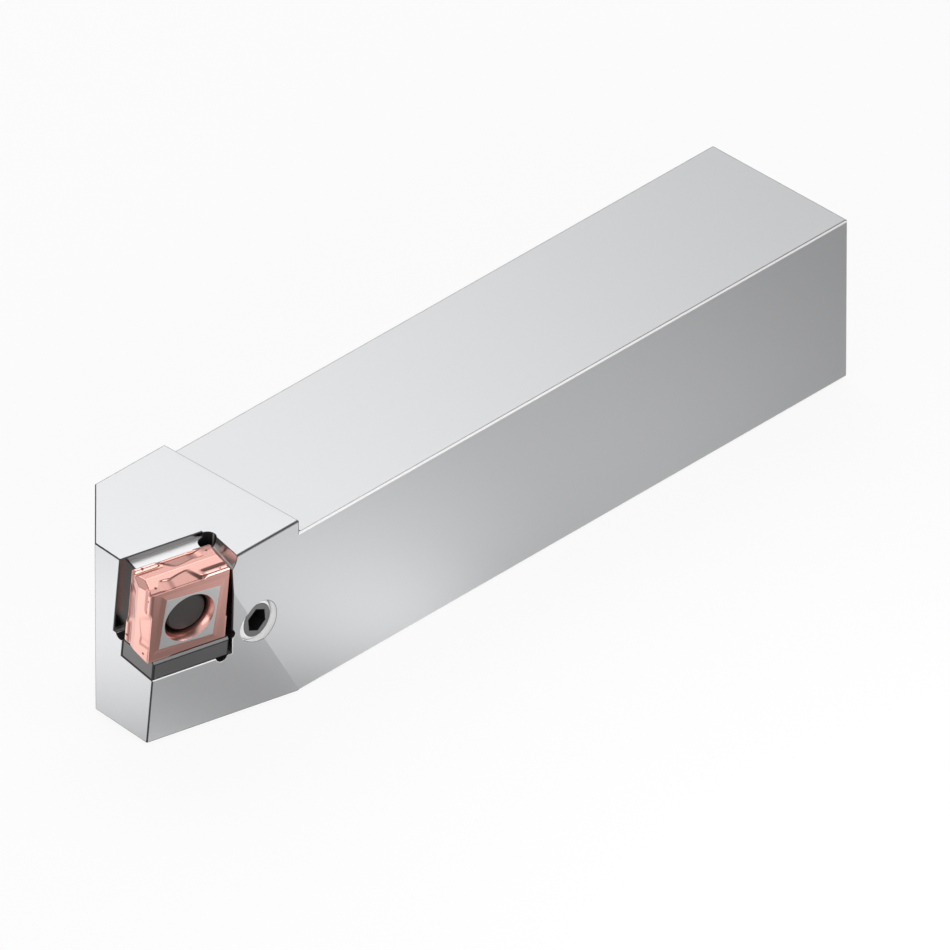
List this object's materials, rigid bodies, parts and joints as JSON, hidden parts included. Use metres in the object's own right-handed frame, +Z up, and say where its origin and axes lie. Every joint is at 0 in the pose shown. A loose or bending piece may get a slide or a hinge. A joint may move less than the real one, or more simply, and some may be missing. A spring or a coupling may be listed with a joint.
{
  "type": "turning tool holder",
  "caption": "Square-shank turning tool holder with a tangential square insert clamped by a hidden lever and side screw.",
  "frame": {"origin": "on the base, in the middle of the shank's width, below the shoulder where the raised head begins", "axes": "+X along the shank towards its rear end, +Z up from the base, +Y to the side away from the insert"},
  "size_m": [0.1274, 0.0254, 0.027],
  "materials": {
    "holder": "satin ground and plated tool steel",
    "insert": "copper-coloured coated carbide with a ground grey land",
    "shim": "dark ground carbide",
    "shim_screw": "black oxide",
    "lever": "dark hardened steel",
    "lever_screw": "ground steel with a bright rim"
  },
  "bodies": {
    "holder": {"holder": "holder", "insert": "insert", "shim": "shim", "shim_screw": "shim_screw"},
    "lever": {"lever": "lever"},
    "lever_screw": {"lever_screw": "lever_screw"}
  },
  "joints": [
    {"name": "lever_screw_travel", "type": "slide", "parent": "holder", "child": "lever_screw", "axis": [0, -1, 0], "range_m": [0, 0.00065]},
    {"name": "lever_swing", "type": "hinge", "parent": "holder", "child": "lever", "pos_m": [-0.01603, -0.00015, 0.02151], "axis": [-0.5728, 0.2504, -0.7805], "range_deg": [0, 3.44]}
  ],
  "couplings": [
    {"joint": "lever_swing", "follows": "lever_screw_travel", "rad_per_m": 92.325}
  ]
}
